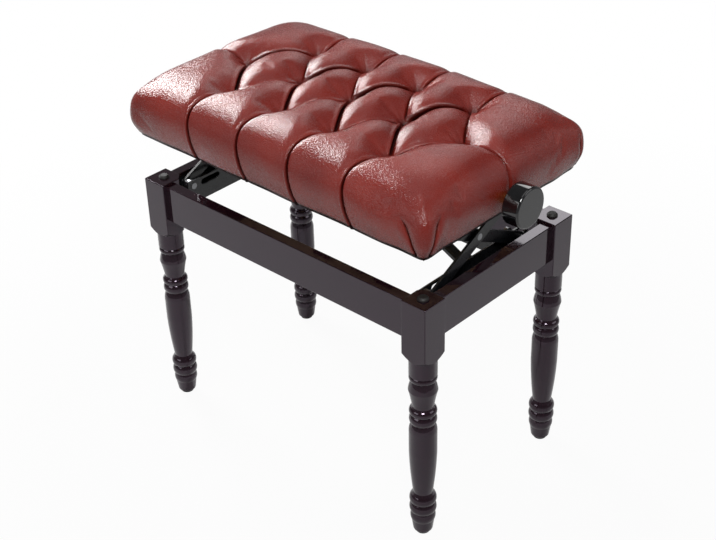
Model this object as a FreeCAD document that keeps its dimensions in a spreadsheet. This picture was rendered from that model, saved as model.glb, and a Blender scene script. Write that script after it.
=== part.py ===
import FreeCAD, Part
import os
import re
import Sketcher
from FreeCAD import Placement, Rotation, Vector

# An adjustable piano bench: four turned legs and four rails carry a steel scissor lift, and the
# lift carries a tufted leather seat. Either knob turns a spindle under the seat, whose nut draws
# a jack strut that stands on the right-hand rail. Millimetres, +Z up, X along the bench, with
# the origin on the floor under its middle. The seat is drawn at the height of the photograph.

SIZES = {
    # stand: posts, rails and their joinery
    "frame_length": 560,
    "frame_width": 328,
    "post_side": 42,
    "post_top": 404,
    "post_chamfer": 10,
    "arris_radius": 1.2,
    "post_square_drop": 94,
    "rail_height": 60,
    "rail_thickness": 18,
    "rail_setback": 7,
    "rail_drop": 4,
    "tenon_length": 14,
    "tenon_thickness": 10,
    "tenon_height": 40,
    "wood_clearance": 0.1,
    # turned leg: radii, then heights of the upper turnings below the post top
    "neck_radius": 20,
    "bead_radius": 19.8,
    "groove_radius": 16.8,
    "vase_radius": 21,
    "vase_waist_radius": 15.5,
    "shaft_radius": 20.2,
    "shaft_waist_radius": 14.4,
    "ankle_radius": 18.5,
    "foot_radius": 14.5,
    "neck_drop": 119.5,
    "collar_drop": 130.5,
    "vase_belly_drop": 146,
    "vase_waist_drop": 174,
    "vase_foot_drop": 176.5,
    "upper_ring_drop": 188.5,
    "lower_ring_drop": 204,
    "shaft_drop": 219,
    # turned leg: heights of the lower turnings above the floor
    "shaft_waist_height": 76,
    "ankle_top_height": 71.5,
    "ankle_ring_height": 55.5,
    "foot_ring_height": 38.5,
    "foot_top_height": 24,
    "foot_edge_height": 8,
    # bumpers and glides
    "bumper_radius": 8,
    "bumper_stem": 2,
    "bumper_dome": 2.5,
    "glide_radius": 10,
    "glide_thickness": 3,
    # scissor lift
    "channel_width": 25,
    "channel_wall": 3,
    "channel_end_gap": 0.5,
    "lower_channel_height": 38,
    "upper_channel_height": 45,
    "channel_drop": 10,
    "pivot_drop": 19,
    "pivot_setback": 12,
    "upper_pivot_rise": 3,
    "seat_fall": 70,
    "seat_lift": 5,
    "slide_end_margin": 11.27,
    "arm_width": 18,
    "arm_thickness": 4,
    "arm_gap": 2,
    "arm_wall_gap": 4,
    "pin_radius": 5,
    "pin_clearance": 0.06,
    "press_clearance": 0.03,
    "slot_clearance": 0.1,
    "slot_margin": 1.3,
    "front_slot_offset": 20,
    "front_slot_run": 28,
    "spacer_radius": 8,
    "spacer_clearance": 0.4,
    "pin_collar_length": 5,
    "slide_pin_reach": 13,
    "tie_depth": 20,
    "tie_thickness": 5,
    "tie_offset": 70,
    "tie_rise": -4,
    # jack strut, its foot and the nut
    "strut_width": 18,
    "strut_thickness": 5,
    "strut_eye_radius": 8,
    "strut_pin_radius": 4,
    "strut_pivot_drop": 14,
    "strut_foot_gap": 2,
    "bracket_wall": 3,
    "bracket_gap": 0.8,
    "bracket_margin": 11,
    "nut_length": 20,
    "nut_width": 30,
    "nut_shoulder": 13,
    "pin_head_radius": 6.5,
    "pin_head_thickness": 2,
    # spindle and knobs
    "spindle_rise": 22,
    "spindle_radius": 6,
    "thread_root_radius": 5.2,
    "thread_pitch": 4,
    "thread_turns": 16,
    "thread_shift": 9,
    "knob_radius": 30,
    "knob_thickness": 27,
    "knob_rim": 3,
    "knob_gap": 16.5,
    "knob_shaft_radius": 5,
    "knob_bore_depth": 20,
    "hanger_offset": 51,
    "hanger_thickness": 6,
    "hanger_width": 36,
    "hanger_foot": 26,
    "hanger_below": 14,
    "collar_radius": 10,
    "collar_length": 8,
    "collar_gap": 0.3,
    "bush_radius": 10,
    "bush_knob_gap": 1,
    # seat
    "seat_gap": 76,
    "seat_end_overhang": -0.5,
    "seat_side_overhang": 1.5,
    "seat_bulge": 9,
    "seat_bulge_height": 46,
    "seat_crown_height": 105,
    "crown_end_drop": 13,
    "crown_edge_drop": 14,
    "seat_hem_corner": 10,
    "seat_belly_corner": 14,
    "seat_crown_corner": 40,
    "seat_wall": 6,
    "seat_wall_clearance": 0.3,
    "seat_board_lift": 2,
    "seat_board_height": 34,
    "seat_board_thickness": 20,
    "deck_thickness": 10,
    "bush_hole_clearance": 0.6,
    "tuft_pitch": 101,
    "tuft_end_inset": 71.5,
    "tuft_row_inset": 72.5,
    "tuft_depth": 24,
    "tuft_mouth_radius": 20,
    "tuft_floor_radius": 2,
    "furrow_depth": 15,
    "furrow_mouth": 20,
    "pleat_depth": 4,
    "pleat_width": 8,
    "corner_pleat_offset": 34,
    # wood screws
    "screw_radius": 2,
    "screw_length": 14,
    "screw_head_radius": 4,
    "screw_head_thickness": 2,
    "screw_clearance": 0.05,
    "screw_inset": 25.5,
    "lower_screw_height": 12,
    "upper_screw_inset": 8,
}

# Places worked out from the sizes, each a formula that may name the ones above it.
PLACES = {
    "post_x": "frame_length / 2 - post_side / 2",
    "post_y": "frame_width / 2 - post_side / 2",
    "post_inner_x": "frame_length / 2 - post_side",
    "post_inner_y": "frame_width / 2 - post_side",
    "rail_outer_x": "frame_length / 2 - rail_setback",
    "rail_outer_y": "frame_width / 2 - rail_setback",
    "rail_inner_x": "rail_outer_x - rail_thickness",
    "rail_inner_y": "rail_outer_y - rail_thickness",
    "rail_top": "post_top - rail_drop",
    "rail_bottom": "rail_top - rail_height",
    "channel_inner_x": "rail_inner_x - channel_width",
    "channel_end_y": "post_inner_y - channel_end_gap",
    "lower_channel_top": "post_top - channel_drop",
    "lower_channel_bottom": "lower_channel_top - lower_channel_height",
    "hem": "post_top + seat_gap",
    "lower_pivot_z": "post_top - pivot_drop",
    "upper_pivot_z": "hem + upper_pivot_rise",
    "pivot_y": "pivot_setback - post_inner_y",
    "arm_rise": "upper_pivot_z - lower_pivot_z",
    "arm_run_low": "channel_end_y - slide_end_margin - pivot_y",
    "arm_length": "sqrt(arm_run_low ^ 2 + (arm_rise - seat_fall) ^ 2)",
    "arm_run": "sqrt(arm_length ^ 2 - arm_rise ^ 2)",
    "arm_angle": "asin(arm_rise / arm_length)",
    "slide_y": "pivot_y + arm_run",
    "slot_inner_y": "pivot_y + sqrt(arm_length ^ 2 - (arm_rise + seat_lift) ^ 2) - slot_margin",
    "slot_outer_y": "pivot_y + arm_run_low + slot_margin",
    "front_slot_outer_y": "pivot_y + front_slot_offset",
    "front_slot_inner_y": "front_slot_outer_y + front_slot_run",
    "centre_y": "pivot_y + arm_run / 2",
    "centre_z": "lower_pivot_z + arm_rise / 2",
    "arm_a_outer_x": "rail_inner_x - channel_wall - arm_wall_gap",
    "arm_a_inner_x": "arm_a_outer_x - arm_thickness",
    "arm_b_outer_x": "arm_a_inner_x - arm_gap",
    "arm_b_inner_x": "arm_b_outer_x - arm_thickness",
    "pin_end_x": "rail_inner_x - slot_clearance",
    "screw_y": "channel_end_y - screw_inset",
    "seat_length": "frame_length + 2 * seat_end_overhang",
    "seat_width": "frame_width + 2 * seat_side_overhang",
    "board_bottom": "hem + seat_board_lift",
    "deck_bottom": "board_bottom + seat_board_height",
    "deck_top": "deck_bottom + deck_thickness",
    "board_outer_x": "seat_length / 2 - seat_wall",
    "board_outer_y": "seat_width / 2 - seat_wall",
    "board_inner_y": "board_outer_y - seat_board_thickness",
    "upper_channel_bottom": "deck_bottom - upper_channel_height",
    "bracket_x": "channel_inner_x - bracket_wall",
    "strut_foot_x": "bracket_x - strut_foot_gap - strut_eye_radius",
    "strut_foot_z": "lower_pivot_z - strut_pivot_drop",
    "bracket_inner_y": "strut_width / 2 + bracket_gap",
    "bracket_outer_y": "bracket_inner_y + bracket_wall",
    "nut_x": "strut_foot_x - arm_run",
    "nut_pin_z": "upper_pivot_z - strut_pivot_drop",
    "spindle_z": "hem + spindle_rise",
    "knob_back_x": "seat_length / 2 + knob_gap",
    "knob_bore_radius": "knob_shaft_radius + press_clearance",
    "spindle_end_x": "knob_back_x + knob_bore_depth",
    "thread_middle_x": "nut_x - thread_shift",
    "thread_end_x": "thread_middle_x - thread_pitch * thread_turns / 2",
    "tuft_end_offset": "seat_length / 2 - tuft_end_inset",
    "tuft_row_offset": "seat_width / 2 - tuft_row_inset",
}

doc = FreeCAD.newDocument("piano_bench")
sizes = doc.addObject("Spreadsheet::Sheet", "Sizes")
places = doc.addObject("Spreadsheet::Sheet", "Places")
subparts = []

# Turns that lay a cylinder, drawn upright, along each axis.
ALONG = {
    "x": Rotation(Vector(0, 1, 0), 90),
    "y": Rotation(Vector(1, 0, 0), -90),
    "z": Rotation(),
}


def refer(text, home=""):
    """A formula with each named value's sheet in front of it, except in that sheet itself."""
    def full(match):
        word = match.group(0)
        for sheet, names in (("Sizes", SIZES), ("Places", PLACES)):
            if word in names and sheet != home:
                return sheet + "." + word
        return word
    return re.sub(r"[a-z_][a-z0-9_]*", full, text)


def fill_sheets():
    for row, (name, size) in enumerate(SIZES.items(), 1):
        sizes.set("A%d" % row, name.replace("_", " "))
        sizes.set("B%d" % row, str(size))
        sizes.setAlias("B%d" % row, name)
    doc.recompute()
    for row, (name, formula) in enumerate(PLACES.items(), 1):
        places.set("A%d" % row, name.replace("_", " "))
        places.set("B%d" % row, "=" + refer(formula, "Places"))
        places.setAlias("B%d" % row, name)
    doc.recompute()


def read(name):
    """A named value as a plain number, for shapes that are drawn point by point."""
    value = getattr(sizes if name in SIZES else places, name)
    return float(getattr(value, "Value", value))


def subpart(label, shape):
    shape.Label = label
    subparts.append(shape)
    return shape


def locate(shape, x="0", y="0", z="0"):
    for axis, text in zip("xyz", (x, y, z)):
        shape.setExpression("Placement.Base." + axis, refer(text))
    return shape


def box(name, x_span, y_span, z_span):
    """A block between two places along each axis."""
    block = doc.addObject("Part::Box", name)
    for side, (low, high) in zip(("Length", "Width", "Height"), (x_span, y_span, z_span)):
        block.setExpression(side, refer("(%s) - (%s)" % (high, low)))
    return locate(block, x_span[0], y_span[0], z_span[0])


def eased(name, block, along=None):
    """A block with its arrises rounded, either all of them or only those along one axis."""
    block.recompute()
    radius = read("arris_radius")
    rounded = doc.addObject("Part::Fillet", name)
    rounded.Base = block
    rounded.Edges = [(number, radius, radius) for number, edge in enumerate(block.Shape.Edges, 1)
                     if along is None or abs(edge.tangentAt(edge.FirstParameter).dot(along)) > 0.9]
    return rounded


def rod(name, axis, radius, span, at):
    """A round bar along one axis between two places; at gives the other two coordinates."""
    bar = doc.addObject("Part::Cylinder", name)
    bar.Placement = Placement(Vector(), ALONG[axis])
    bar.setExpression("Radius", refer(radius))
    bar.setExpression("Height", refer("(%s) - (%s)" % (span[1], span[0])))
    others = iter(at)
    return locate(bar, *[span[0] if axis == each else next(others) for each in "xyz"])


def fuse(name, *shapes):
    whole = doc.addObject("Part::MultiFuse", name)
    whole.Shapes = list(shapes)
    return whole


def group(name, shapes):
    """Separate solids that share one node."""
    several = doc.addObject("Part::Compound", name)
    several.Links = list(shapes)
    return several


def cut(name, base, *tools):
    rest = doc.addObject("Part::Cut", name)
    rest.Base = base
    rest.Tool = tools[0] if len(tools) == 1 else group(name + "_tools", tools)
    return rest


def mirrored(sign, low, high):
    """A span along an axis, or its mirror image on the negative side."""
    return (low, high) if sign > 0 else ("-(%s)" % high, "-(%s)" % low)


def beside_thread(sign, low, high):
    """A span at two distances to the right of the thread's middle, or to the left of it."""
    return tuple("thread_middle_x + " + place for place in mirrored(sign, low, high))


def side_name(sign):
    return "right" if sign > 0 else "left"


def turned_outline():
    """Half the section of the turning, which leaves the post square above its shoulder."""
    top = read("post_top")
    clear = read("post_side")
    square_bottom = top - read("post_square_drop")
    groove = read("groove_radius")
    bead = read("bead_radius")
    neck = read("neck_radius")
    drop = {name: top - read(name) for name in SIZES if name.endswith("_drop")}
    edges = []
    pen = [Vector(0, 0, top)]

    def line(radius, height):
        end = Vector(radius, 0, height)
        edges.append(Part.LineSegment(pen[-1], end).toShape())
        pen.append(end)

    def arc(mid_radius, mid_height, radius, height):
        end = Vector(radius, 0, height)
        middle = Vector(mid_radius, 0, mid_height)
        edges.append(Part.Arc(pen[-1], middle, end).toShape())
        pen.append(end)

    def ring(height, crest=bead):
        """A half-round bead down to the groove at this height."""
        arc(crest, (pen[-1].z + height) / 2, groove, height)

    line(clear, top)
    line(clear, square_bottom + clear - neck)
    line(neck, square_bottom)
    line(neck, drop["neck_drop"])
    line(groove, drop["neck_drop"])
    ring(drop["collar_drop"], neck)
    vase = read("vase_radius")
    waist = read("vase_waist_radius")
    belly = drop["vase_belly_drop"]
    arc((groove + 2 * vase) / 3, (pen[-1].z + 2 * belly) / 3 + 2, vase, belly)
    arc((vase + waist) / 2 - 0.4, (belly + drop["vase_waist_drop"]) / 2, waist, drop["vase_waist_drop"])
    line(groove, drop["vase_foot_drop"])
    ring(drop["upper_ring_drop"])
    ring(drop["lower_ring_drop"])
    shaft = read("shaft_radius")
    ankle_waist = read("shaft_waist_radius")
    shaft_top = drop["shaft_drop"]
    shaft_waist = read("shaft_waist_height")
    arc((groove + 2 * shaft) / 3, (pen[-1].z + shaft_top) / 2 + 2, shaft, shaft_top)
    shaft_full = shaft_top - (shaft_top - shaft_waist) / 3
    line(shaft, shaft_full)
    arc((shaft + ankle_waist) / 2 + 0.9, (shaft_full + shaft_waist) / 2, ankle_waist, shaft_waist)
    line(groove, read("ankle_top_height"))
    ring(read("ankle_ring_height"))
    ring(read("foot_ring_height"))
    ring(read("foot_top_height"), read("ankle_radius"))
    foot = read("foot_radius")
    glide = read("glide_thickness")
    line(foot, read("foot_edge_height"))
    arc(foot - 0.7, (read("foot_edge_height") + glide) / 2, read("glide_radius") + 1, glide)
    line(0, glide)
    line(0, top)
    return Part.Face(Part.Wire(edges))


def legs():
    """Four legs, each turned from one square post that is mortised for two rails."""
    outline = doc.addObject("Part::Feature", "turning_outline")
    outline.Shape = turned_outline()
    turning = doc.addObject("Part::Revolution", "turning")
    turning.Source = outline
    turning.Axis = Vector(0, 0, 1)
    turning.Base = Vector(0, 0, 0)
    turning.Angle = 360
    turning.Solid = True
    half = "post_side / 2"
    tenon_low = "rail_bottom + (rail_height - tenon_height) / 2 - wood_clearance"
    tenon_high = "rail_top - (rail_height - tenon_height) / 2 + wood_clearance"
    cheek = "%s - rail_setback - rail_thickness / 2 %s (tenon_thickness / 2 + wood_clearance)"
    mortise_width = (cheek % (half, "-"), cheek % (half, "+"))
    mortise_depth = "tenon_length + wood_clearance - post_side / 2"
    for x_sign in (-1, 1):
        for y_sign in (-1, 1):
            name = "leg_%s_%s" % ("rear" if y_sign > 0 else "front", side_name(x_sign))
            blank = box(name + "_blank", ("-" + half, half), ("-" + half, half), ("0", "post_top"))
            turned = doc.addObject("Part::Common", name + "_turned")
            turned.Base = eased(name + "_eased", blank)
            turned.Tool = turning
            inner_x = mirrored(x_sign, "-" + half, mortise_depth)
            inner_y = mirrored(y_sign, "-" + half, mortise_depth)
            long_mortise = box(name + "_long_mortise", inner_x,
                               mirrored(y_sign, *mortise_width), (tenon_low, tenon_high))
            short_mortise = box(name + "_short_mortise", mirrored(x_sign, *mortise_width),
                                inner_y, (tenon_low, tenon_high))
            corner = box(name + "_corner", ("0", "post_chamfer"), ("0", "2 * post_chamfer"),
                         ("0", "post_top"))
            inward = Vector(-x_sign, -y_sign, 0)
            corner.Placement = Placement(Vector(), Rotation(Vector(1, 0, 0), inward))
            near = "(post_side - post_chamfer) / 2"
            aside = "post_chamfer / sqrt(2)"
            locate(corner, "%d * %s + %d * %s" % (-x_sign, near, -y_sign, aside),
                   "%d * %s + %d * %s" % (-y_sign, near, x_sign, aside))
            leg = cut(name + "_cut", turned, long_mortise, short_mortise, corner)
            locate(leg, "%d * post_x" % x_sign, "%d * post_y" % y_sign)
            subpart(name, leg)


def rails():
    """Two long and two short rails, each with a tenon at either end."""
    tenon_z = ("rail_bottom + (rail_height - tenon_height) / 2",
               "rail_top - (rail_height - tenon_height) / 2")
    rail_z = ("rail_bottom", "rail_top")
    for sign in (-1, 1):
        name = "rail_rear" if sign > 0 else "rail_front"
        board = box(name + "_board", ("-post_inner_x", "post_inner_x"),
                    mirrored(sign, "rail_inner_y", "rail_outer_y"), rail_z)
        tenons = box(name + "_tenons", ("-post_inner_x - tenon_length", "post_inner_x + tenon_length"),
                     mirrored(sign, "rail_outer_y - (rail_thickness + tenon_thickness) / 2",
                              "rail_outer_y - (rail_thickness - tenon_thickness) / 2"), tenon_z)
        subpart(name, fuse(name + "_whole", eased(name + "_eased", board, Vector(1, 0, 0)), tenons))
    for sign in (-1, 1):
        name = "rail_" + side_name(sign)
        board = box(name + "_board", mirrored(sign, "rail_inner_x", "rail_outer_x"),
                    ("-post_inner_y", "post_inner_y"), rail_z)
        tenons = box(name + "_tenons",
                     mirrored(sign, "rail_outer_x - (rail_thickness + tenon_thickness) / 2",
                              "rail_outer_x - (rail_thickness - tenon_thickness) / 2"),
                     ("-post_inner_y - tenon_length", "post_inner_y + tenon_length"), tenon_z)
        whole = fuse(name + "_whole", eased(name + "_eased", board, Vector(0, 1, 0)), tenons)
        holes = [rod("%s_pilot_%d" % (name, number), "x", "screw_radius + screw_clearance",
                     mirrored(sign, "rail_inner_x", "rail_inner_x + screw_length"), (y, z))
                 for number, (y, z) in enumerate(lower_screws())]
        subpart(name, cut(name + "_drilled", whole, *holes))


def lower_screws():
    """Across and up: where the lower channels are screwed to the short rails."""
    height = "lower_channel_bottom + lower_screw_height"
    return [("%d * screw_y" % step, height) for step in (-1, 1)]


def upper_screws():
    """In and across: where the upper channels are screwed up into the deck."""
    inset = "channel_inner_x + channel_wall + upper_screw_inset"
    return [(inset, "%d * screw_y" % step) for step in (-1, 1)]


def bumpers_and_glides():
    """A rubber bumper on each post for the seat to land on, and a glide under each foot."""
    bumpers = []
    glides = []
    for number, (x_sign, y_sign) in enumerate([(-1, -1), (1, -1), (1, 1), (-1, 1)]):
        at = ("%d * post_x" % x_sign, "%d * post_y" % y_sign)
        stem = rod("bumper_stem_%d" % number, "z", "bumper_radius",
                   ("post_top", "post_top + bumper_stem"), at)
        dome = doc.addObject("Part::Cone", "bumper_dome_%d" % number)
        dome.setExpression("Radius1", refer("bumper_radius"))
        dome.setExpression("Radius2", refer("bumper_radius - bumper_dome"))
        dome.setExpression("Height", refer("bumper_dome"))
        locate(dome, at[0], at[1], "post_top + bumper_stem")
        bumpers.append(fuse("bumper_%d" % number, stem, dome))
        glides.append(rod("glide_%d" % number, "z", "glide_radius", ("0", "glide_thickness"), at))
    subpart("post_bumpers", group("bumper_group", bumpers))
    subpart("foot_glides", group("glide_group", glides))


def slot(name, y_span, z):
    """A round-ended slot for a pin, right across one channel on each side of the bench."""
    half = "pin_radius + slot_clearance"
    across = ("-rail_inner_x - 1", "rail_inner_x + 1")
    tools = [box(name + "_run", across, y_span, ("%s - (%s)" % (z, half), "%s + %s" % (z, half)))]
    for end, y in zip("ab", y_span):
        tools.append(rod(name + "_end_" + end, "x", half, across, (y, z)))
    return fuse(name, *tools)


def channel_section(name, sign, z_span, inside_z):
    whole = box(name + "_outside", mirrored(sign, "channel_inner_x", "rail_inner_x"),
                ("-channel_end_y", "channel_end_y"), z_span)
    inside = box(name + "_inside",
                 mirrored(sign, "channel_inner_x + channel_wall", "rail_inner_x - channel_wall"),
                 ("-channel_end_y - 1", "channel_end_y + 1"), inside_z)
    return whole, inside


def pin_hole(name, axis, radius, span, at):
    return rod(name, axis, radius + " + pin_clearance", span, at)


def channels():
    """Pressed steel channels: one pair on the short rails, one pair under the seat deck."""
    across = ("-rail_inner_x - 1", "rail_inner_x + 1")
    for sign in (-1, 1):
        name = "lower_channel_" + side_name(sign)
        outside, inside = channel_section(name, sign, ("lower_channel_bottom", "lower_channel_top"),
                                          ("lower_channel_bottom + channel_wall", "lower_channel_top + 1"))
        tools = [inside,
                 slot(name + "_rear_slot", ("slot_inner_y", "slot_outer_y"), "lower_pivot_z"),
                 slot(name + "_front_slot", ("front_slot_outer_y", "front_slot_inner_y"), "lower_pivot_z"),
                 pin_hole(name + "_pivot", "x", "pin_radius", across, ("pivot_y", "lower_pivot_z"))]
        for number, at in enumerate(lower_screws()):
            tools.append(rod("%s_screw_%d" % (name, number), "x", "screw_radius + screw_clearance",
                             mirrored(sign, "rail_inner_x - channel_wall - 1", "rail_inner_x + 1"), at))
        subpart(name, cut(name + "_cut", outside, *tools))
    for sign in (-1, 1):
        name = "upper_channel_" + side_name(sign)
        outside, inside = channel_section(name, sign, ("upper_channel_bottom", "deck_bottom"),
                                          ("upper_channel_bottom - 1", "deck_bottom - channel_wall"))
        tools = [inside,
                 slot(name + "_slot", ("slot_inner_y", "slot_outer_y"), "upper_pivot_z"),
                 pin_hole(name + "_pivot", "x", "pin_radius", across, ("pivot_y", "upper_pivot_z")),
                 rod(name + "_spindle_hole", "x", "bush_radius", across, ("0", "spindle_z"))]
        for number, (x, y) in enumerate(upper_screws()):
            tools.append(rod("%s_screw_%d" % (name, number), "z", "screw_radius + screw_clearance",
                             ("deck_bottom - channel_wall - 1", "deck_bottom + 1"),
                             ("%d * (%s)" % (sign, x), y)))
        subpart(name, cut(name + "_cut", outside, *tools))


def wood_screw(name, axis, sign, seat, at):
    """A pan-head screw whose head bears at seat, with its point along the signed axis."""
    head = (seat + " - screw_head_thickness", seat)
    shank = (seat, seat + " + screw_length - 1")
    return fuse(name, rod(name + "_head", axis, "screw_head_radius", mirrored(sign, *head), at),
                rod(name + "_shank", axis, "screw_radius", mirrored(sign, *shank), at))


def screws():
    lower = []
    upper = []
    hanger = []
    for sign in (-1, 1):
        side = side_name(sign)
        for number, at in enumerate(lower_screws()):
            lower.append(wood_screw("lower_screw_%s_%d" % (side, number), "x", sign,
                                    "rail_inner_x - channel_wall", at))
        for number, (x, y) in enumerate(upper_screws()):
            upper.append(wood_screw("upper_screw_%s_%d" % (side, number), "z", 1,
                                    "deck_bottom - channel_wall", ("%d * (%s)" % (sign, x), y)))
        for number, at in enumerate(hanger_screws(sign)):
            hanger.append(wood_screw("hanger_screw_%s_%d" % (side, number), "z", 1,
                                     "deck_bottom - bracket_wall", at))
    subpart("lower_channel_screws", group("lower_screw_group", lower))
    subpart("upper_channel_screws", group("upper_screw_group", upper))
    subpart("hanger_screws", group("hanger_screw_group", hanger))


def scissor_arm(label, sign, x_span, lower_y, turn, bores):
    """A flat steel arm, drawn level along +Y from its lower pivot and then turned about X."""
    thick = mirrored(sign, *x_span)
    half = "arm_width / 2"
    bar = fuse(label + "_bar",
               box(label + "_flat", thick, ("0", "arm_length"), ("-" + half, half)),
               rod(label + "_lower_end", "x", half, thick, ("0", "0")),
               rod(label + "_upper_end", "x", half, thick, ("arm_length", "0")))
    through = (thick[0] + " - 1", thick[1] + " + 1")
    holes = [rod("%s_bore_%d" % (label, number), "x", radius, through, (along, "0"))
             for number, (along, radius) in enumerate(bores)]
    arm = cut(label + "_cut", bar, *holes)
    arm.Placement = Placement(Vector(), Rotation(Vector(1, 0, 0), 1))
    arm.setExpression("Placement.Rotation.Angle", refer(turn))
    locate(arm, "0", lower_y, "lower_pivot_z")
    return subpart(label, arm)


def scissors():
    """Two pairs of crossed arms. Each pair slides at one end and is tied by a rod at its top."""
    turning = "pin_radius + pin_clearance"
    fixed = "pin_radius + press_clearance"
    for sign in (-1, 1):
        side = side_name(sign)
        scissor_arm("scissor_arm_a_" + side, sign, ("arm_a_inner_x", "arm_a_outer_x"), "pivot_y",
                    "arm_angle", [("0", turning), ("arm_length / 2", fixed), ("arm_length", fixed)])
        scissor_arm("scissor_arm_b_" + side, sign, ("arm_b_inner_x", "arm_b_outer_x"), "slide_y",
                    "180 deg - arm_angle",
                    [("0", fixed), ("arm_length / 2", turning), ("arm_length", fixed)])
    ends = ("-pin_end_x", "pin_end_x")
    subpart("upper_slide_rod", rod("upper_slide", "x", "pin_radius", ends, ("slide_y", "upper_pivot_z")))
    subpart("upper_pivot_rod", rod("upper_pivot", "x", "pin_radius", ends, ("pivot_y", "upper_pivot_z")))
    lower_pins = []
    slide_pins = []
    centre_pins = []
    spacers = []
    lower_at = ("pivot_y", "lower_pivot_z")
    slide_at = ("slide_y", "lower_pivot_z")
    for sign in (-1, 1):
        side = side_name(sign)
        lower_pins.append(rod("lower_pin_" + side, "x", "pin_radius",
                              mirrored(sign, "channel_inner_x - 1", "pin_end_x"), lower_at))
        reach = "channel_inner_x - slide_pin_reach"
        slide_pins.append(fuse("slide_pin_" + side,
                               rod("slide_pin_shank_" + side, "x", "pin_radius",
                                   mirrored(sign, reach, "pin_end_x"), slide_at),
                               rod("slide_pin_collar_" + side, "x", "spacer_radius",
                                   mirrored(sign, reach, reach + " + pin_collar_length"), slide_at)))
        centre_pins.append(rod("centre_pin_" + side, "x", "pin_radius",
                               mirrored(sign, "arm_b_inner_x", "arm_a_outer_x"), ("centre_y", "centre_z")))
        spacers.append(cut("lower_spacer_" + side,
                           rod("lower_spacer_outside_" + side, "x", "spacer_radius",
                               mirrored(sign, "channel_inner_x + channel_wall + spacer_clearance",
                                        "arm_a_inner_x - spacer_clearance"), lower_at),
                           rod("lower_spacer_bore_" + side, "x", "pin_radius + pin_clearance",
                               mirrored(sign, "channel_inner_x", "arm_a_inner_x"), lower_at)))
    subpart("lower_pivot_pins", group("lower_pin_group", lower_pins))
    subpart("lower_slide_pins", group("slide_pin_group", slide_pins))
    subpart("centre_pivot_pins", group("centre_pin_group", centre_pins))
    subpart("lower_pivot_spacers", group("spacer_group", spacers))
    tie_bottom = "lower_channel_bottom + tie_rise"
    subpart("lower_tie_bar", box("tie_bar", ("-channel_inner_x", "channel_inner_x"),
                                 ("tie_offset", "tie_offset + tie_thickness"),
                                 (tie_bottom, tie_bottom + " + tie_depth")))


def strut_foot():
    """A welded clevis on the right-hand channel, in which the jack strut stands."""
    low_z = "strut_foot_z - bracket_margin"
    high_z = "strut_foot_z + strut_eye_radius + 2"
    plate = box("foot_plate", ("bracket_x", "channel_inner_x"), ("-bracket_outer_y", "bracket_outer_y"),
                (low_z, high_z))
    ear_x = ("strut_foot_x - strut_eye_radius - 2", "bracket_x")
    ears = [box("foot_ear_" + side_name(sign), ear_x, mirrored(sign, "bracket_inner_y", "bracket_outer_y"),
                (low_z, high_z)) for sign in (-1, 1)]
    at = ("strut_foot_x", "strut_foot_z")
    hole = pin_hole("foot_hole", "y", "strut_pin_radius",
                    ("-bracket_outer_y - 1", "bracket_outer_y + 1"), at)
    subpart("strut_foot_bracket", cut("foot_bracket_cut", fuse("foot_bracket", plate, *ears), hole))
    subpart("strut_foot_pin", headed_pin("foot_pin", "bracket_outer_y", at))


def headed_pin(name, half_length, at):
    """A clevis pin along Y with a head at each end."""
    end = half_length + " + pin_clearance"
    heads = [rod("%s_head_%s" % (name, side_name(sign)), "y", "pin_head_radius",
                 mirrored(sign, end, end + " + pin_head_thickness"), at) for sign in (-1, 1)]
    return fuse(name, rod(name + "_shank", "y", "strut_pin_radius", ("-(%s)" % end, end), at), *heads)


def jack_strut():
    """A strap with an eye at each end, as long as the arms so that it keeps step with them."""
    width = ("-strut_width / 2", "strut_width / 2")
    foot = ("0", "0")
    head = ("-arm_length", "0")
    strap = box("strut_strap", ("-arm_length", "0"), width, ("-strut_thickness / 2", "strut_thickness / 2"))
    eyes = [rod("strut_foot_eye", "y", "strut_eye_radius", width, foot),
            rod("strut_head_eye", "y", "strut_eye_radius", width, head)]
    through = ("-strut_width", "strut_width")
    bores = [pin_hole("strut_foot_bore", "y", "strut_pin_radius", through, foot),
             pin_hole("strut_head_bore", "y", "strut_pin_radius", through, head)]
    strut = cut("strut_cut", fuse("strut_bar", strap, *eyes), *bores)
    strut.Placement = Placement(Vector(), Rotation(Vector(0, 1, 0), 1))
    strut.setExpression("Placement.Rotation.Angle", refer("arm_angle"))
    locate(strut, "strut_foot_x", "0", "strut_foot_z")
    subpart("jack_strut", strut)


def nut():
    """The nut block rides on the spindle, and its two cheeks hold the head of the strut."""
    long = ("nut_x - nut_length / 2", "nut_x + nut_length / 2")
    cheek_bottom = "nut_pin_z - strut_eye_radius"
    body = box("nut_body", long, ("-nut_width / 2", "nut_width / 2"),
               (cheek_bottom, "spindle_z + nut_shoulder"))
    through = ("nut_x - nut_length", "nut_x + nut_length")
    room = box("nut_fork", through, ("-bracket_inner_y", "bracket_inner_y"),
               (cheek_bottom + " - 1", "nut_pin_z + strut_eye_radius + strut_foot_gap"))
    bore = rod("nut_bore", "x", "spindle_radius + pin_clearance", through, ("0", "spindle_z"))
    at = ("nut_x", "nut_pin_z")
    hole = pin_hole("nut_pin_hole", "y", "strut_pin_radius", ("-nut_width", "nut_width"), at)
    subpart("spindle_nut", cut("nut_cut", body, room, bore, hole))
    subpart("strut_head_pin", headed_pin("head_pin", "nut_width / 2", at))


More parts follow.
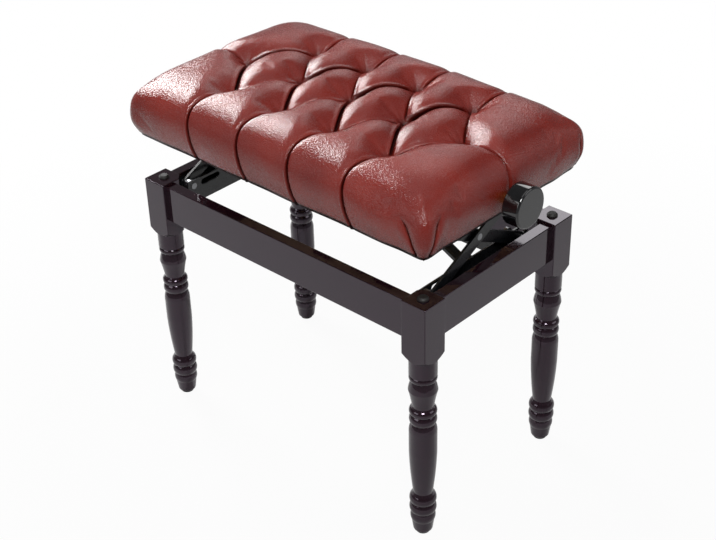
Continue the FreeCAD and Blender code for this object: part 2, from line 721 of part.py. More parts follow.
def knob(label, sign):
    """A moulded knob, drawn as a disc with rounded rims and a blind bore for the spindle."""
    body = doc.addObject("PartDesign::Body", label + "_body")
    plane = [each for each in body.Origin.OriginFeatures if each.Role == "YZ_Plane"][0]

    def disc(name, radius, length, kind, onward):
        sketch = body.newObject("Sketcher::SketchObject", label + "_" + name + "_sketch")
        sketch.AttachmentSupport = (plane, [""])
        sketch.MapMode = "FlatFace"
        sketch.addGeometry(Part.Circle(Vector(0, 0, 0), Vector(0, 0, 1), read(radius)))
        sketch.addConstraint(Sketcher.Constraint("Coincident", 0, 3, -1, 1))
        sketch.addConstraint(Sketcher.Constraint("Radius", 0, read(radius)))
        sketch.renameConstraint(1, "radius")
        sketch.setExpression("Constraints.radius", refer(radius))
        feature = body.newObject(kind, label + "_" + name)
        feature.Profile = sketch
        feature.Reversed = onward
        feature.setExpression("Length", refer(length))
        doc.recompute()
        return feature

    blank = disc("disc", "knob_radius", "knob_thickness", "PartDesign::Pad", False)
    rims = ["Edge%d" % number for number, edge in enumerate(blank.Shape.Edges, 1) if edge.Closed]
    rounded = body.newObject("PartDesign::Fillet", label + "_rims")
    rounded.Base = (blank, rims)
    rounded.setExpression("Radius", refer("knob_rim"))
    doc.recompute()
    before = rounded.Shape.Volume
    bored = disc("bore", "knob_bore_radius", "knob_bore_depth", "PartDesign::Pocket", True)
    if not bored.Shape.Volume < before - 1:
        raise RuntimeError(label + " has no bore")
    body.Placement = Placement(Vector(), Rotation(Vector(0, 0, 1), 0 if sign > 0 else 180))
    locate(body, "%d * knob_back_x" % sign, "0", "spindle_z")
    subpart(label, body)


def spindle():
    """The hand spindle: its thread is drawn as rings, and a collar bears on each hanger."""
    at = ("0", "spindle_z")
    core = rod("spindle_core", "x", "spindle_radius", ("-knob_back_x", "knob_back_x"), at)
    ends = rod("spindle_ends", "x", "knob_shaft_radius", ("-spindle_end_x", "spindle_end_x"), at)
    grooves = []
    for turn in range(int(read("thread_turns"))):
        start = "thread_end_x + thread_pitch * %d" % turn
        outside = rod("thread_outside_%d" % turn, "x", "spindle_radius + 1",
                      (start, start + " + thread_pitch / 2"), at)
        root = rod("thread_root_%d" % turn, "x", "thread_root_radius",
                   (start + " - 1", start + " + thread_pitch / 2 + 1"), at)
        grooves.append(cut("thread_groove_%d" % turn, outside, root))
    subpart("spindle", cut("spindle_cut", fuse("spindle_blank", core, ends), *grooves))
    collars = []
    for sign in (-1, 1):
        start = "hanger_offset + hanger_thickness / 2 + collar_gap"
        span = beside_thread(sign, start, start + " + collar_length")
        ring = rod("collar_outside_" + side_name(sign), "x", "collar_radius", span, at)
        bore = rod("collar_bore_" + side_name(sign), "x", "spindle_radius + press_clearance",
                   beside_thread(sign, start + " - 1", start + " + collar_length + 1"), at)
        collars.append(cut("collar_" + side_name(sign), ring, bore))
    subpart("spindle_collars", group("collar_group", collars))
    for sign in (-1, 1):
        knob("knob_" + side_name(sign), sign)


def hanger_screws(sign):
    """Along and across: where a spindle hanger is screwed up into the deck."""
    x = "thread_middle_x + %d * (hanger_offset + hanger_thickness / 2 + hanger_foot / 2)" % sign
    return [(x, "%d * hanger_width / 4" % step) for step in (-1, 1)]


def hangers():
    """Two angle brackets under the deck that carry the spindle, and a bush in each end board."""
    at = ("0", "spindle_z")
    whole_length = ("-knob_back_x", "knob_back_x")
    across = ("-hanger_width / 2", "hanger_width / 2")
    web_face = "hanger_offset + hanger_thickness / 2"
    bushes = []
    for sign in (-1, 1):
        side = side_name(sign)
        web_x = beside_thread(sign, "hanger_offset - hanger_thickness / 2", web_face)
        foot_x = beside_thread(sign, web_face, web_face + " + hanger_foot")
        web = box("hanger_web_" + side, web_x, across, ("spindle_z - hanger_below", "deck_bottom"))
        foot = box("hanger_foot_" + side, foot_x, across, ("deck_bottom - bracket_wall", "deck_bottom"))
        bent = fuse("hanger_bent_" + side, web, foot)
        bore = pin_hole("hanger_bore_" + side, "x", "spindle_radius", whole_length, at)
        holes = [rod("hanger_hole_%s_%d" % (side, number), "z", "screw_radius + screw_clearance",
                     ("deck_bottom - bracket_wall - 1", "deck_bottom + 1"), place)
                 for number, place in enumerate(hanger_screws(sign))]
        subpart("spindle_hanger_" + side, cut("hanger_" + side, bent, bore, *holes))
        span = mirrored(sign, "rail_inner_x", "knob_back_x - bush_knob_gap")
        bushes.append(cut("bush_" + side, rod("bush_outside_" + side, "x", "bush_radius", span, at),
                          pin_hole("bush_bore_" + side, "x", "spindle_radius", whole_length, at)))
    subpart("spindle_bushes", group("bush_group", bushes))


def seat_boards():
    """A frame of four boards under a plywood deck."""
    heights = ("board_bottom", "deck_bottom")
    bush_hole = rod("board_bush_hole", "x", "bush_radius + screw_clearance",
                    ("-knob_back_x", "knob_back_x"), ("0", "spindle_z"))
    for sign in (-1, 1):
        name = "seat_board_rear" if sign > 0 else "seat_board_front"
        subpart(name, box(name + "_board", ("-board_outer_x", "board_outer_x"),
                          mirrored(sign, "board_inner_y", "board_outer_y"), heights))
        name = "seat_board_" + side_name(sign)
        end = box(name + "_board", mirrored(sign, "rail_inner_x", "board_outer_x"),
                  ("-board_inner_y", "board_inner_y"), heights)
        subpart(name, cut(name + "_bored", end, bush_hole))
    deck = box("deck_sheet", ("-board_outer_x", "board_outer_x"), ("-board_outer_y", "board_outer_y"),
               ("deck_bottom", "deck_top"))
    pilots = []
    for sign in (-1, 1):
        points = [("%d * (%s)" % (sign, x), y) for x, y in upper_screws()] + hanger_screws(sign)
        for number, at in enumerate(points):
            pilots.append(rod("deck_pilot_%s_%d" % (side_name(sign), number), "z",
                              "screw_radius + screw_clearance",
                              ("deck_bottom - 1", "deck_top + screw_length"), at))
    subpart("seat_deck", cut("deck_drilled", deck, *pilots))


def rounded_rectangle(half_x, half_y, corner, z):
    """A closed outline of four lines and four quarter arcs."""
    edges = []
    slant = corner * (1 - 0.5 ** 0.5)
    x, y = half_x - corner, half_y - corner
    points = [
        (Vector(half_x, -y, z), Vector(half_x, y, z), Vector(half_x - slant, half_y - slant, z)),
        (Vector(x, half_y, z), Vector(-x, half_y, z), Vector(slant - half_x, half_y - slant, z)),
        (Vector(-half_x, y, z), Vector(-half_x, -y, z), Vector(slant - half_x, slant - half_y, z)),
        (Vector(-x, -half_y, z), Vector(x, -half_y, z), Vector(half_x - slant, slant - half_y, z)),
    ]
    for number, (start, end, bend) in enumerate(points):
        edges.append(Part.LineSegment(start, end).toShape())
        edges.append(Part.Arc(end, bend, points[(number + 1) % 4][0]).toShape())
    return Part.Wire(edges)


def tuft_points():
    """Plan places of the sewn tufts: three staggered rows, front, middle and rear."""
    pitch, row, end = read("tuft_pitch"), read("tuft_row_offset"), read("tuft_end_offset")
    outer = [step * pitch for step in (-1.5, -0.5, 0.5, 1.5)]
    return {
        "front": [(x, -row) for x in outer],
        "middle": [(-end, 0), (-pitch, 0), (0, 0), (pitch, 0), (end, 0)],
        "rear": [(x, row) for x in outer],
    }


def furrow(start, end, start_z, end_z, mouth):
    """A V-shaped furrow between two plan points, open upwards, with its floor at these heights."""
    along = Vector(end[0] - start[0], end[1] - start[1], 0).normalize()
    aside = Vector(-along.y, along.x, 0) * mouth
    rise = Vector(0, 0, 2 * read("furrow_depth"))
    wires = []
    for (x, y), z in ((start, start_z), (end, end_z)):
        floor = Vector(x, y, z)
        wires.append(Part.makePolygon([floor, floor + rise + aside, floor + rise - aside, floor]))
    return Part.makeLoft(wires, True, True)


def pleat(x, y, outward, high):
    """An upright crease in the side of the seat, cut from outside, from its hem to a height."""
    low = read("hem") - 1
    out = Vector(outward[0], outward[1], 0) * read("pleat_depth")
    aside = Vector(-outward[1], outward[0], 0) * read("pleat_width")
    face = Vector(x, y, low)
    corners = [face - out, face + out + aside, face + out - aside, face - out]
    return Part.Face(Part.makePolygon(corners)).extrude(Vector(0, 0, high - low))


def seat_sides():
    """The outside of the seat below its crown, lofted from the hem out over the bulge and in."""
    hem, crown = read("hem"), read("seat_crown_height")
    bulge, belly = read("seat_bulge"), read("seat_bulge_height")
    hem_corner, belly_corner = read("seat_hem_corner"), read("seat_belly_corner")
    crown_corner = read("seat_crown_corner")
    # how far each outline stands outside the hem and above it, and its corner radius
    outlines = [
        (0, 0, hem_corner),
        (0.75 * bulge, 0.45 * belly, (hem_corner + belly_corner) / 2),
        (bulge, belly, belly_corner),
        (0.45 * bulge, 0.72 * crown, (2 * belly_corner + crown_corner) / 3),
        (-1.2 * bulge, 0.9 * crown, crown_corner),
        (-4.2 * bulge, 1.08 * crown, 1.25 * crown_corner),
    ]
    half_x, half_y = read("seat_length") / 2, read("seat_width") / 2
    wires = [rounded_rectangle(half_x + out, half_y + out, corner, hem + up)
             for out, up, corner in outlines]
    return Part.makeLoft(wires, True)


def seat_crown():
    """A block with an arched top, lower at the two ends than in the middle."""
    hem = read("hem")
    top = hem + read("seat_crown_height")
    reach, wide = 0.55 * read("seat_length"), 0.575 * read("seat_width")
    floor = hem - 5
    sections = []
    for x, drop in ((-reach, read("crown_end_drop")), (0, 0), (reach, read("crown_end_drop"))):
        edge = top - drop - read("crown_edge_drop")
        front, rear = Vector(x, -wide, edge), Vector(x, wide, edge)
        front_foot, rear_foot = Vector(x, -wide, floor), Vector(x, wide, floor)
        sections.append(Part.Wire([
            Part.LineSegment(front_foot, rear_foot).toShape(),
            Part.LineSegment(rear_foot, rear).toShape(),
            Part.Arc(rear, Vector(x, 0, top - drop), front).toShape(),
            Part.LineSegment(front, front_foot).toShape()]))
    return Part.makeLoft(sections, True)


def tufting():
    """What the sewing draws in: a cone at each tuft, furrows between them, pleats down the sides."""
    hem = read("hem")
    top = hem + read("seat_crown_height")
    half_x, half_y = read("seat_length") / 2, read("seat_width") / 2
    bulge, inset = read("seat_bulge"), read("corner_pleat_offset")
    side_z = hem + read("seat_bulge_height")
    depth, mouth = read("furrow_depth"), read("furrow_mouth")
    floor_z, edge_z, pleat_z = top - depth, side_z + depth, side_z + 1.4 * depth
    rows = tuft_points()
    tuft_depth = read("tuft_depth")
    tools = [Part.makeCone(read("tuft_floor_radius"), 2 * read("tuft_mouth_radius"), 2 * tuft_depth,
                           Vector(x, y, top - tuft_depth))
             for x, y in rows["front"] + rows["middle"] + rows["rear"]]
    for row, way in (("front", -1), ("rear", 1)):
        for number, tuft in enumerate(rows[row]):
            for neighbour in rows["middle"][number:number + 2]:
                tools.append(furrow(tuft, neighbour, floor_z, floor_z, mouth))
            edge = (tuft[0], way * (half_y + bulge))
            tools.append(furrow(tuft, edge, floor_z, edge_z, mouth / 2))
            tools.append(pleat(edge[0], edge[1], (0, way), pleat_z))
    for way in (-1, 1):
        edge = (way * (half_x + bulge), 0)
        tools.append(furrow((way * read("tuft_end_offset"), 0), edge, floor_z, edge_z, mouth / 2))
        tools.append(pleat(edge[0], edge[1], (way, 0), pleat_z))
    for x_way in (-1, 1):
        for y_way in (-1, 1):
            tools.append(pleat(x_way * (half_x - inset), y_way * (half_y + bulge), (0, y_way), side_z))
            tools.append(pleat(x_way * (half_x + bulge), y_way * (half_y - inset), (x_way, 0), side_z))
    return tools


def cushion():
    """The tufted pad on the deck, and the skirt of padded leather around the boards below it."""
    hem, deck_top = read("hem"), read("deck_top")
    clear = read("seat_wall_clearance")
    hollow_x, hollow_y = read("board_outer_x") + clear, read("board_outer_y") + clear
    hollow = Part.makeBox(2 * hollow_x, 2 * hollow_y, deck_top - hem + 1,
                          Vector(-hollow_x, -hollow_y, hem - 1))
    reach = read("knob_back_x")
    shaft_way = Part.makeCylinder(read("bush_radius") + read("bush_hole_clearance"), 2 * reach,
                                  Vector(-reach, 0, read("spindle_z")), Vector(1, 0, 0))
    whole = seat_sides().common(seat_crown()).cut(tufting())
    above = Part.makeBox(2 * reach, 2 * reach, deck_top, Vector(-reach, -reach, deck_top))
    for label, shape in (("seat_cushion", whole.common(above)),
                         ("seat_skirt", whole.cut([above, hollow, shaft_way]))):
        piece = doc.addObject("Part::Feature", label + "_form")
        piece.Shape = shape.Solids[0] if len(shape.Solids) == 1 else shape
        subpart(label, piece)


def write_parts():
    doc.recompute()
    for each in doc.Objects:
        if "Invalid" in each.State or "Error" in each.State:
            raise RuntimeError("%s failed: %s" % (each.Name, each.State))
    for piece in subparts:
        if piece.Shape.isNull() or not piece.Shape.isValid() or piece.Shape.Volume <= 0:
            raise RuntimeError(piece.Label + " has no valid shape")
    os.makedirs("parts", exist_ok=True)
    for piece in subparts:
        piece.Shape.exportStep("parts/%s.step" % piece.Label)


fill_sheets()
legs()
rails()
bumpers_and_glides()
channels()
screws()
scissors()
strut_foot()
jack_strut()
nut()
spindle()
hangers()
seat_boards()
cushion()
write_parts()
for each in subparts:
    print("%-24s %2d solids %12.1f mm3" % (each.Label, len(each.Shape.Solids), each.Shape.Volume))
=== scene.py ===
import math
from collections import namedtuple
import bpy
import numpy as np
from mathutils import Matrix, Vector


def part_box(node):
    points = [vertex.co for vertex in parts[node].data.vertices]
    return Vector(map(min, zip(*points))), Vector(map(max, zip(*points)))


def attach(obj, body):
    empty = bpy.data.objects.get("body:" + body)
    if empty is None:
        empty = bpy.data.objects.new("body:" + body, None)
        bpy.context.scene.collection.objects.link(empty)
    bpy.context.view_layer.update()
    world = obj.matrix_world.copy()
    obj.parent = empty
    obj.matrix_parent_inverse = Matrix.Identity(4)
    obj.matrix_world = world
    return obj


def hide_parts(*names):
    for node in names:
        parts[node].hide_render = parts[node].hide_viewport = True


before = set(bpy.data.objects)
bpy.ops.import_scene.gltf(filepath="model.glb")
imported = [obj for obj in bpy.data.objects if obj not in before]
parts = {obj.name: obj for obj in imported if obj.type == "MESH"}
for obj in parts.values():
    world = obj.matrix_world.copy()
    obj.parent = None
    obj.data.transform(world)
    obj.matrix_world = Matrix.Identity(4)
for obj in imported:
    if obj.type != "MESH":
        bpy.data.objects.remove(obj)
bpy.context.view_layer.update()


# Legs and rails: beech, turned and planed, stained near black with a hint of mahogany, then
# sprayed and buffed to a deep gloss. The grain hardly shows; the polish mirrors the studio.
STAIN_GRAIN_MM, PEEL_MM = 2.0, 4.0
# most of a noise lies in this stretch, which is spread from one tone to the other
MIDDLE_OF_NOISE = {"From Min": 0.3, "From Max": 0.7}


def linear(hex_colour):
    """The linear colour of an sRGB hex value."""
    shares = [int(hex_colour[place:place + 2], 16) / 255 for place in (1, 3, 5)]
    return [v / 12.92 if v <= 0.04045 else ((v + 0.055) / 1.055) ** 2.4 for v in shares] + [1.0]


def add(tree, kind, values=None, links=None, **settings):
    """Adds a node with its settings, the values of its open inputs, and the sockets that feed it."""
    made = tree.nodes.new(kind)
    for name, value in settings.items():
        setattr(made, name, value)
    for name, value in (values or {}).items():
        made.inputs[name].default_value = value
    for name, socket in (links or {}).items():
        tree.links.new(socket, made.inputs[name])
    return made


def start_material(name):
    """A new material, its node tree and its shader."""
    material = bpy.data.materials.new(name)
    material.use_nodes = True
    return material, material.node_tree, material.node_tree.nodes["Principled BSDF"]


def finish_nodes(material, *names):
    """Gives CAD nodes a material in place of the one they were packed with."""
    for name in names:
        parts[name].data.materials.clear()
        parts[name].data.materials.append(material)


def black_polish(name, across):
    """Polished stain over wood; across squeezes the grain into lines except along its length."""
    material, tree, shader = start_material(name)
    place = add(tree, "ShaderNodeTexCoord").outputs["Object"]
    along_grain = add(tree, "ShaderNodeMapping", {"Scale": across}, {"Vector": place})
    grain = add(tree, "ShaderNodeTexNoise",
                {"Scale": 1000 / STAIN_GRAIN_MM, "Detail": 3.0, "Roughness": 0.6},
                {"Vector": along_grain.outputs["Vector"]})
    tone = add(tree, "ShaderNodeMapRange", MIDDLE_OF_NOISE, {"Value": grain.outputs["Fac"]})
    stain = add(tree, "ShaderNodeMix", {"A": linear("#13060a"), "B": linear("#200a14")},
                {"Factor": tone.outputs["Result"]}, data_type="RGBA")
    tree.links.new(stain.outputs["Result"], shader.inputs["Base Color"])
    # buffing leaves a faint orange peel
    peel = add(tree, "ShaderNodeTexNoise", {"Scale": 1000 / PEEL_MM, "Detail": 1.0}, {"Vector": place})
    rub = add(tree, "ShaderNodeMapRange", {"To Min": 0.07, "To Max": 0.16},
              {"Value": peel.outputs["Fac"]})
    tree.links.new(rub.outputs["Result"], shader.inputs["Roughness"])
    bump = add(tree, "ShaderNodeBump", {"Strength": 0.12, "Distance": 0.0002},
               {"Height": peel.outputs["Fac"]})
    tree.links.new(bump.outputs["Normal"], shader.inputs["Normal"])
    shader.inputs["IOR"].default_value = 1.5
    # painted reflection tint: the lacquer's reflections are turned mauve to stand in for the tint of the
    # studio they mirror
    shader.inputs["Specular Tint"].default_value = linear("#e4c6ec")
    shader.inputs["Coat Weight"].default_value = 0.8
    shader.inputs["Coat Roughness"].default_value = 0.04
    return material


finish_nodes(black_polish("black_polished_beech_upright", (1.0, 1.0, 0.05)),
             "leg_front_left", "leg_front_right", "leg_rear_left", "leg_rear_right")
finish_nodes(black_polish("black_polished_beech_long", (0.05, 1.0, 1.0)), "rail_front", "rail_rear")
finish_nodes(black_polish("black_polished_beech_short", (1.0, 0.05, 1.0)), "rail_left", "rail_right")


# Bumpers and glides: small moulded buttons, black rubber on the posts for the seat to land on
# and hard black plastic under the feet. Both have the dull, slightly speckled skin of the mould.
def moulded(name, dark, light, low_shine, high_shine, speckle_mm):
    """A moulded skin with fine speckle in its colour, its shine and its surface."""
    material, tree, shader = start_material(name)
    place = add(tree, "ShaderNodeTexCoord").outputs["Object"]
    speckle = add(tree, "ShaderNodeTexNoise", {"Scale": 1000 / speckle_mm, "Detail": 2.0},
                  {"Vector": place})
    tone = add(tree, "ShaderNodeMapRange", MIDDLE_OF_NOISE, {"Value": speckle.outputs["Fac"]})
    skin = add(tree, "ShaderNodeMix", {"A": linear(dark), "B": linear(light)},
               {"Factor": tone.outputs["Result"]}, data_type="RGBA")
    tree.links.new(skin.outputs["Result"], shader.inputs["Base Color"])
    shine = add(tree, "ShaderNodeMapRange", {"To Min": low_shine, "To Max": high_shine},
                {"Value": speckle.outputs["Fac"]})
    tree.links.new(shine.outputs["Result"], shader.inputs["Roughness"])
    bump = add(tree, "ShaderNodeBump", {"Strength": 0.2, "Distance": 0.0001},
               {"Height": speckle.outputs["Fac"]})
    tree.links.new(bump.outputs["Normal"], shader.inputs["Normal"])
    return material


finish_nodes(moulded("black_rubber", "#141211", "#221f1d", 0.45, 0.7, speckle_mm=1.2), "post_bumpers")
finish_nodes(moulded("black_nylon", "#18181a", "#26262a", 0.4, 0.6, speckle_mm=1.0), "foot_glides")


# The scissor lift: pressed channels, flat arms, tie bar, strut and hangers of mild steel, all
# stove-enamelled black. The enamel is half glossy and a little uneven over the pressed metal.
enamel = moulded("black_stove_enamel", "#0e0f11", "#1c1d20", 0.22, 0.38, speckle_mm=3.0)
enamel.node_tree.nodes["Principled BSDF"].inputs["Coat Weight"].default_value = 0.3
finish_nodes(enamel, "lower_channel_left", "lower_channel_right", "upper_channel_left",
             "upper_channel_right", "scissor_arm_a_left", "scissor_arm_a_right", "scissor_arm_b_left",
             "scissor_arm_b_right", "lower_tie_bar", "strut_foot_bracket", "jack_strut",
             "spindle_hanger_left", "spindle_hanger_right")


# Pins, rods, screws, spindle and nut: drawn steel bar, left bright and lightly oiled. Drawing
# leaves fine lines along the bar, and handling leaves patches that are a little duller. The
# bushes that the spindle turns in are turned brass.
DRAWN_LINE_MM = 0.5
PATCHES_PER_METRE = 60.0  # some 17 mm across


def bright_metal(name, tone, worn_tone):
    """Bright metal with fine drawn lines along X and duller patches."""
    material, tree, shader = start_material(name)
    place = add(tree, "ShaderNodeTexCoord").outputs["Object"]
    along_bar = add(tree, "ShaderNodeMapping", {"Scale": (0.02, 1.0, 1.0)}, {"Vector": place})
    lines = add(tree, "ShaderNodeTexNoise", {"Scale": 1000 / DRAWN_LINE_MM, "Detail": 2.0},
                {"Vector": along_bar.outputs["Vector"]})
    patches = add(tree, "ShaderNodeTexNoise", {"Scale": PATCHES_PER_METRE, "Detail": 3.0},
                  {"Vector": place})
    wear = add(tree, "ShaderNodeMapRange", MIDDLE_OF_NOISE, {"Value": patches.outputs["Fac"]})
    metal = add(tree, "ShaderNodeMix", {"A": linear(worn_tone), "B": linear(tone)},
                {"Factor": wear.outputs["Result"]}, data_type="RGBA")
    tree.links.new(metal.outputs["Result"], shader.inputs["Base Color"])
    shine = add(tree, "ShaderNodeMapRange", {"To Min": 0.22, "To Max": 0.45},
                {"Value": lines.outputs["Fac"]})
    tree.links.new(shine.outputs["Result"], shader.inputs["Roughness"])
    bump = add(tree, "ShaderNodeBump", {"Strength": 0.15, "Distance": 0.0001},
               {"Height": lines.outputs["Fac"]})
    tree.links.new(bump.outputs["Normal"], shader.inputs["Normal"])
    shader.inputs["Metallic"].default_value = 1.0
    return material


drawn_steel = bright_metal("drawn_steel", "#b4b5b8", "#8d8e91")
finish_nodes(drawn_steel, "lower_channel_screws", "upper_channel_screws", "hanger_screws",
             "lower_pivot_pins", "lower_pivot_spacers", "strut_foot_pin", "upper_slide_rod",
             "centre_pivot_pins", "upper_pivot_rod", "lower_slide_pins", "strut_head_pin",
             "spindle_collars", "spindle_nut", "spindle")
finish_nodes(bright_metal("turned_brass", "#c9a65a", "#9a7838"), "spindle_bushes")


# Knobs: thick discs turned from black phenolic and polished, one on each end of the spindle.
# The polish is as deep as the lacquer's, a little uneven from hands.
knob_black = moulded("polished_phenolic", "#080809", "#0f0f11", 0.05, 0.12, speckle_mm=6.0)
knob_black.node_tree.nodes["Principled BSDF"].inputs["Coat Weight"].default_value = 1.0
knob_black.node_tree.nodes["Principled BSDF"].inputs["Coat Roughness"].default_value = 0.03
finish_nodes(knob_black, "knob_left", "knob_right")


# Seat boards and deck: planed softwood boards under a sheet of birch plywood, left raw because
# the leather hides them. They show only from below, with the lines of their growth.
GROWTH_MM = 4.0


def raw_timber(name, across, dark, light):
    """Bare planed wood with growth lines, squeezed across by the given scale."""
    material, tree, shader = start_material(name)
    place = add(tree, "ShaderNodeTexCoord").outputs["Object"]
    along_grain = add(tree, "ShaderNodeMapping", {"Scale": across}, {"Vector": place})
    growth = add(tree, "ShaderNodeTexNoise",
                 {"Scale": 1000 / GROWTH_MM, "Detail": 4.0, "Distortion": 0.4},
                 {"Vector": along_grain.outputs["Vector"]})
    tone = add(tree, "ShaderNodeMapRange", MIDDLE_OF_NOISE, {"Value": growth.outputs["Fac"]})
    timber = add(tree, "ShaderNodeMix", {"A": linear(dark), "B": linear(light)},
                 {"Factor": tone.outputs["Result"]}, data_type="RGBA")
    tree.links.new(timber.outputs["Result"], shader.inputs["Base Color"])
    bump = add(tree, "ShaderNodeBump", {"Strength": 0.25, "Distance": 0.0003},
               {"Height": growth.outputs["Fac"]})
    tree.links.new(bump.outputs["Normal"], shader.inputs["Normal"])
    shader.inputs["Roughness"].default_value = 0.7
    return material


finish_nodes(raw_timber("planed_pine_long", (0.04, 1.0, 1.0), "#a98255", "#d3b184"),
             "seat_board_front", "seat_board_rear")
finish_nodes(raw_timber("planed_pine_short", (1.0, 0.04, 1.0), "#a98255", "#d3b184"),
             "seat_board_left", "seat_board_right")
finish_nodes(raw_timber("birch_plywood", (0.03, 0.5, 3.0), "#b99a6d", "#dcc49c"), "seat_deck")


# The seat: foam and wadding on the deck under one hide of brick-red leather. Threads draw the
# hide down at each tuft, its slack is folded between them, and pleats carry the folds over the
# edge to the hem, where the hide turns in under the boards. Sizes here are in millimetres.
cushion_low, cushion_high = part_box("seat_cushion")
HALF_LENGTH, HALF_WIDTH = round(cushion_high.x * 1000, 1), round(cushion_high.y * 1000, 1)
HEM = round(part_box("seat_skirt")[0].z * 1000)
BULGE, CROWN = round(cushion_low.z * 1000), round(cushion_high.z * 1000)
CROWN_FALL_X, CROWN_FALL_Y = 5.0, 3.0
ROLL, ROLL_POWER = 80.0, 2.4
DRAWN_IN, DRAWN_POWER = 9.0, 2.3
SPACING = 2.05  # between the points of the hide
CROWDING, CROWDED_WITHIN = 0.6, 24.0  # how points draw closer to a fold
TUFT_LINE, TUFT_SINK, TUFT_RADIUS = 90.0, 6.0, 7.0
PUCKERS, PUCKER_HEIGHT, PUCKER_REACH = 9, 1.0, 15.0
PILLOW_DEPTH, PILLOW_REACH, FLANK_POWER = 26.0, 44.0, 0.62
PLEAT_LEAN, PLEAT_BOW = 2.0, 11.0  # sideways, on the way to the hem
LIP_OUT, LIP_WIDTH = 2.4, 1.7
LIP_ENDS = 0.16  # the share of a fold over which its lip rises from a tuft
FULL_SHADE_GAP = 2.5  # the gap depth at which the painted shade in a gap is full
CORNER_GAP = 4.5
TONGUE_RISE, TONGUE_WIDTH = 3.8, 70.0
UNEVEN = 0.5
SLACK, MOST_SWELL, SWELL_FRAMES = 0.003, 8.0, 20  # of the cloth simulation
HEM_STEP = 1.2
BOARD_GAP, MARGIN = 0.3, 13.0  # the margin is what turns in under the boards
front_row = (-146.0, -45.0, 54.0, 155.0)
middle_row = (-208.0, -95.0, 2.0, 103.0, 209.0)
rear_row = (-150.0, -48.0, 51.0, 153.0)

# one line from the top of the crown over the edge to the hem: out, share of crown height, drop
turn = np.linspace(0, math.pi / 2, 400)
fall = np.linspace(0, 1, 120)[1:]
line_out = np.concatenate([ROLL * np.sin(turn) ** (2 / ROLL_POWER), ROLL - DRAWN_IN * fall ** DRAWN_POWER])
line_up = np.concatenate([np.cos(turn) ** (2 / ROLL_POWER), 0 * fall])
line_drop = np.concatenate([0 * turn, (BULGE - HEM) * fall])
steps = np.hypot(np.diff(line_out), np.diff(line_up * (CROWN - BULGE) - line_drop))
line_length = np.concatenate([[0], np.cumsum(steps)])
roll_length, reach = line_length[len(turn) - 1], line_length[-1]
flat_x, flat_y = HALF_LENGTH - ROLL, HALF_WIDTH - ROLL
edge_x, edge_y = flat_x + reach, flat_y + reach

# folds on the flat sheet: ends, depth at start, middle and end, reach at start and end, side of
# the lip, its height, the gap's depth, its half width at start and end, and the bow of a pleat
Fold = namedtuple("Fold", "start end depths reaches lip_side lip gap widths bow")
between_tufts = ((1.0, 0.76, 1.0), (PILLOW_REACH, PILLOW_REACH))
side_pleat = ((1.0, 0.17, 0.03), (PILLOW_REACH, 14.0))
end_pleat = ((1.0, 0.2, 0.05), (PILLOW_REACH, 18.0))
front_lips = ((1, 3.0, 5.0, (1.3, 1.3)), (1, 1.4, 3.0, (0.8, 0.8)))
rear_lips = ((-1, 4.6, 7.5, (2.0, 3.8)), (1, 2.8, 3.0, (0.9, 0.9)))
folds = []
for way, row, (left_lip, right_lip) in ((-1, front_row, front_lips), (1, rear_row, rear_lips)):
    for number, x in enumerate(row):
        tuft = (x, way * TUFT_LINE)
        at_edge = (x - PLEAT_LEAN * way, way * edge_y)
        folds.append(Fold(tuft, (middle_row[number], 0.0), *between_tufts, *left_lip, bow=0))
        folds.append(Fold(tuft, (middle_row[number + 1], 0.0), *between_tufts, *right_lip, bow=0))
        folds.append(Fold(tuft, at_edge, *side_pleat, way, 2.0, 4.5, (0.6, 1.5), bow=way * PLEAT_BOW))
for way in (-1, 1):
    tuft, at_edge = (way * middle_row[4], 0.0), (way * edge_x, 0.0)
    folds.append(Fold(tuft, at_edge, *end_pleat, way, 1.4, 0.8, (0.7, 1.0), bow=0))

# pleats at the corners, each from and to a place past the flat of the crown: two at two opposite
# corners and one at the others
two_pleats = ((48, 102, 132, reach), (98, 56, reach, 140))
one_pleat = ((104, 84, reach, 146),)
corner_pleats = []
for way in (-1, 1):
    for side_y, pleats in ((-way, two_pleats), (way, one_pleat)):
        for from_x, from_y, hem_x, hem_y in pleats:
            corner_pleats.append(((way * (flat_x + from_x), side_y * (flat_y + from_y)),
                                  (way * (flat_x + hem_x), side_y * (flat_y + hem_y))))


def from_fold(start, end, x, y, bow=0):
    """Share of the way along a fold, the nearest point on it, and the distance, left positive."""
    if bow:  # a pleat swings sideways, most of all half way to the hem
        down = np.clip((y - start[1]) / (end[1] - start[1]), 0, 1)
        bow = bow * np.sin(math.pi * down)
    x = x - bow
    run_x, run_y = end[0] - start[0], end[1] - start[1]
    run = math.hypot(run_x, run_y)
    share = np.clip(((x - start[0]) * run_x + (y - start[1]) * run_y) / run ** 2, 0, 1)
    foot_x, foot_y = start[0] + share * run_x, start[1] + share * run_y
    side = (y - start[1]) * run_x - (x - start[0]) * run_y
    return share, foot_x + bow, foot_y, np.where(side < 0, -1, 1) * np.hypot(x - foot_x, y - foot_y)


def pillowed(distance, width):
    """How far a pillow has risen, from 0 on its fold to 1, like the flank of a cushion."""
    return (1 - (1 - np.clip(np.abs(distance) / width, 0, 1)) ** 2) ** FLANK_POWER


def eased(share):
    """A share that starts and stops smoothly between 0 and 1."""
    share = np.clip(share, 0, 1)
    return share * share * (3 - 2 * share)


